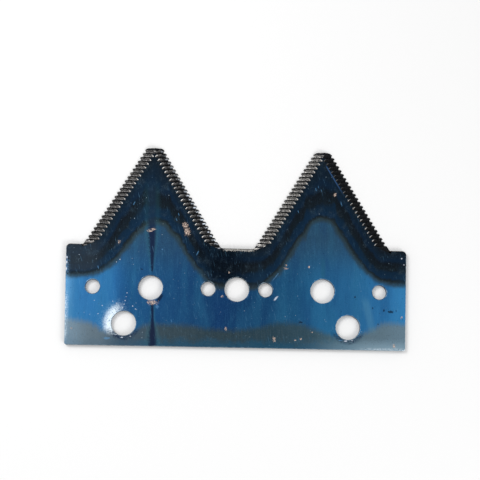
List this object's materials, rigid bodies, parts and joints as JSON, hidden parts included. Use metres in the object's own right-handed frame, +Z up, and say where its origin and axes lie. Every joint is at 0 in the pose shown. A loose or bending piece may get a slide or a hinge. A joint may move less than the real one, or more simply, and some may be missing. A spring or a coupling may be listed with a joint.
{
  "type": "sickle section",
  "caption": "Flat steel mower knife section with twin pointed teeth, serrated ground bevels and a punched base.",
  "frame": {"origin": "centre of the middle bolt hole at the underside, which seats on the knife bar", "axes": "+X along the knife bar, +Y toward the tooth tips, +Z up out of the bevelled face"},
  "size_m": [0.1516, 0.0889, 0.002],
  "materials": {
    "blued_steel": "satin blue temper colour, with a dark hardened band along the teeth"
  },
  "bodies": {
    "root": {"sickle_section": "blued_steel"}
  },
  "joints": []
}
